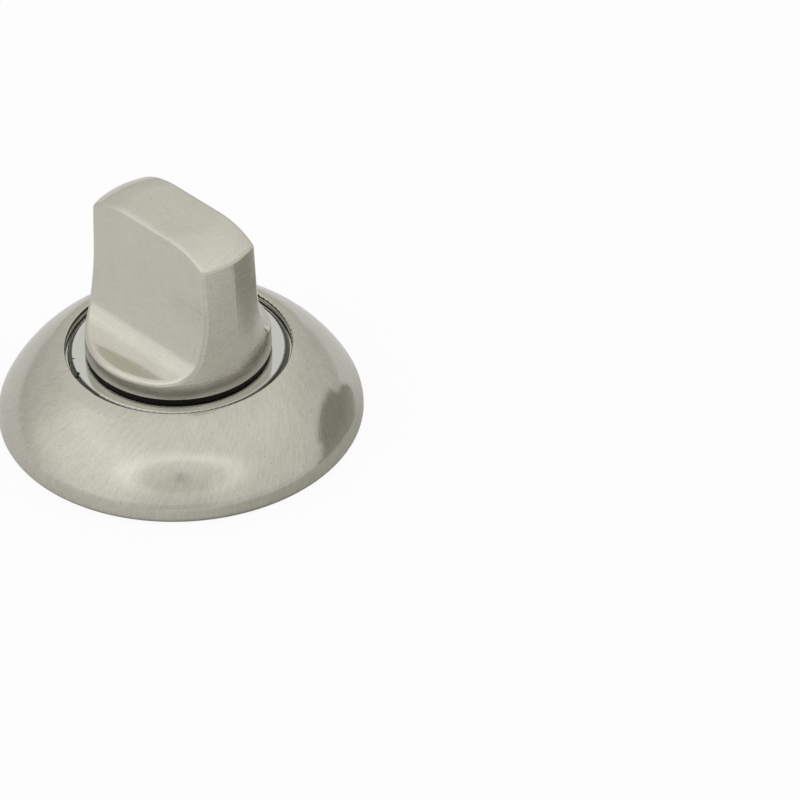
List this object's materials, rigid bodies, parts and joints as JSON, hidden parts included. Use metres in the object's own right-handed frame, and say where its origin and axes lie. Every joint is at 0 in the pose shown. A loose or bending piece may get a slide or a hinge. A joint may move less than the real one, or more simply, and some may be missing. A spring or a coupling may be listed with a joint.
{
  "type": "thumb turn",
  "caption": "Bathroom door thumb turn: a satin knob with a scooped blade on a round domed rose, with its threaded cover, base, bush and retaining ring.",
  "frame": {"origin": "on the turn's axis, at the door's face, which is the foot of the rose", "axes": "+Z out of the door along the turn's axis; X along the knob's blade at rest and along the line of the fixing holes"},
  "size_m": [0.052, 0.052, 0.0352],
  "materials": {
    "satin_cover": "brushed satin nickel plate",
    "satin_knob": "brushed satin nickel plate",
    "plated_base": "polished plate on the hub's top, as cast behind",
    "black_nylon": "moulded, matt",
    "spring_steel": "rolled spring steel",
    "dark_steel": "oiled black steel",
    "zinc_steel": "zinc plated"
  },
  "bodies": {
    "rose": {"rose_cover": "satin_cover", "rose_base": "plated_base", "bearing_bush": "black_nylon", "spring_washer": "spring_steel"},
    "knob": {"thumb_knob": "satin_knob", "circlip": "dark_steel", "flat_washer": "zinc_steel"}
  },
  "joints": [
    {"name": "turn", "type": "hinge", "parent": "rose", "child": "knob", "pos_m": [0, 0, 0.012], "axis": [0, 0, 1], "continuous": true}
  ]
}
